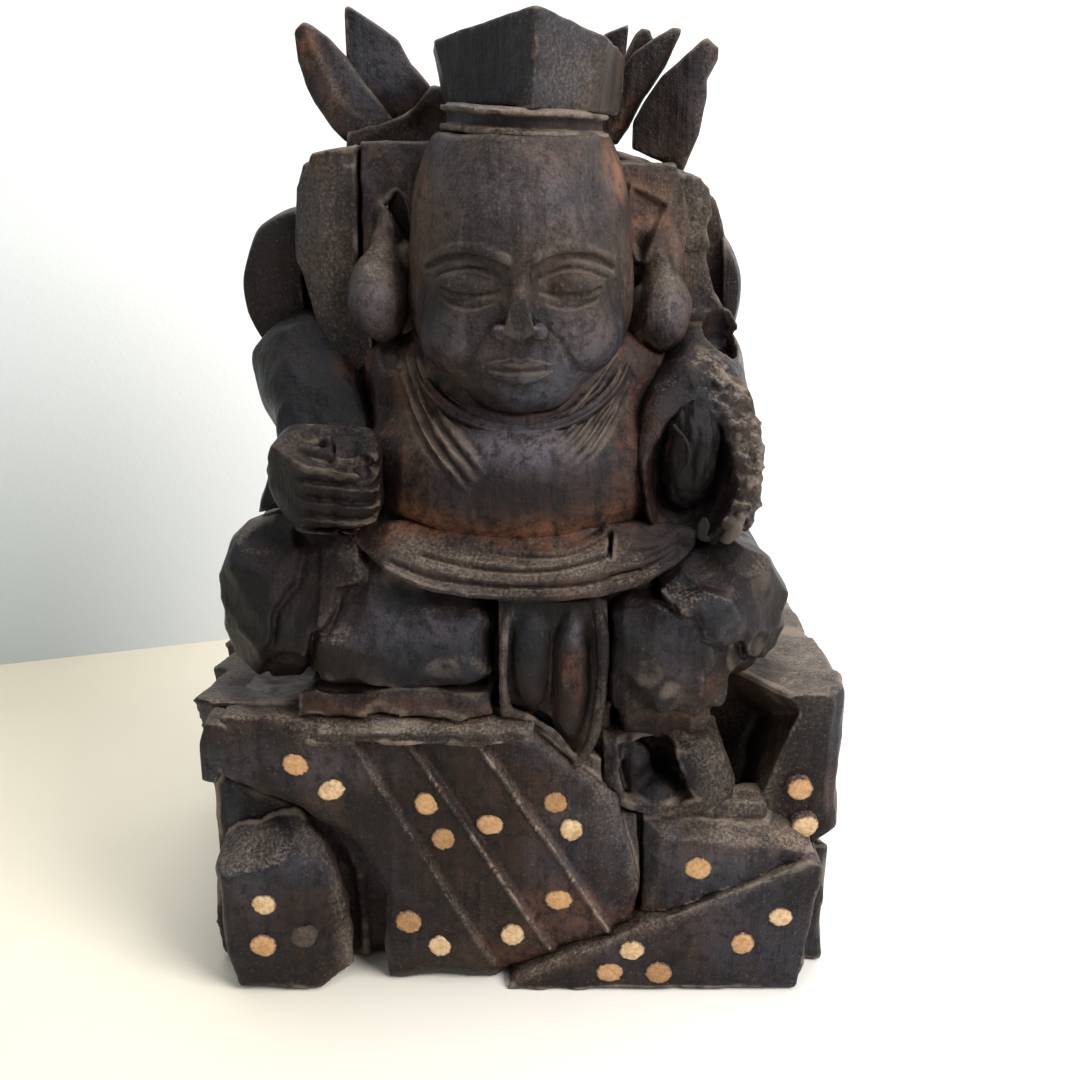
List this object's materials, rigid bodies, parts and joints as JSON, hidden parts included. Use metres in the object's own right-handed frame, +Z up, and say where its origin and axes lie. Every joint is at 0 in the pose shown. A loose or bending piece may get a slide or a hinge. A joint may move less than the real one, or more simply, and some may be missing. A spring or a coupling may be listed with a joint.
{
  "type": "seated lucky deity figure",
  "caption": "Dark stained wooden figure of a smiling seated lucky deity on a carved rock, joined from pegged blocks, with a lift-out head.",
  "frame": {"origin": "middle of the footprint, on the surface that the rock stands on", "axes": "+Z up, the figure faces -Y, +X to the right of someone who faces it"},
  "size_m": [0.212, 0.154, 0.31],
  "materials": {
    "dark_stained_wood": "satin",
    "worn_red_brown_wood": "satin",
    "pale_plug_wood": "matte",
    "peg_wood": "matte"
  },
  "bodies": {
    "figure": {"arm_stump_right": "dark_stained_wood", "back_bundle": "dark_stained_wood", "base_core": "dark_stained_wood", "base_foot_block": "dark_stained_wood", "base_front_slab": "dark_stained_wood", "base_left_boss": "dark_stained_wood", "base_right_scroll": "dark_stained_wood", "base_right_wedge": "dark_stained_wood", "blade_left_inner": "dark_stained_wood", "blade_left_outer": "dark_stained_wood", "blade_right_back": "dark_stained_wood", "blade_right_inner": "dark_stained_wood", "blade_right_outer": "dark_stained_wood", "blade_right_stub": "pale_plug_wood", "bundle_pegs": "peg_wood", "collar": "worn_red_brown_wood", "crest_root": "dark_stained_wood", "foot_right": "dark_stained_wood", "hand_left": "dark_stained_wood", "lap_drape": "worn_red_brown_wood", "leg_left": "dark_stained_wood", "leg_pegs": "peg_wood", "leg_right": "dark_stained_wood", "old_plug_left_boss": "dark_stained_wood", "plug_foot_block": "pale_plug_wood", "plugs_front_slab": "pale_plug_wood", "plugs_left_boss": "pale_plug_wood", "plugs_right_scroll": "pale_plug_wood", "plugs_right_wedge": "pale_plug_wood", "sash": "worn_red_brown_wood", "seat_pegs": "peg_wood", "sleeve_left": "dark_stained_wood", "sleeve_pegs": "peg_wood", "sleeve_right": "dark_stained_wood", "torso_back": "dark_stained_wood", "torso_front": "dark_stained_wood", "torso_pegs": "peg_wood", "vest_panel_left": "dark_stained_wood", "vest_panel_right": "dark_stained_wood", "vest_yoke": "dark_stained_wood", "yoke_pegs": "peg_wood"},
    "head": {"face_block": "dark_stained_wood", "head_back_block": "dark_stained_wood", "ear_left": "dark_stained_wood", "ear_right": "dark_stained_wood", "hat_band": "dark_stained_wood", "hat_crown": "dark_stained_wood", "head_pegs": "peg_wood", "hat_peg": "peg_wood"}
  },
  "joints": [
    {"name": "head_lift", "type": "slide", "parent": "figure", "child": "head", "axis": [0, 0, 1], "range_m": [0, 0.06]}
  ]
}
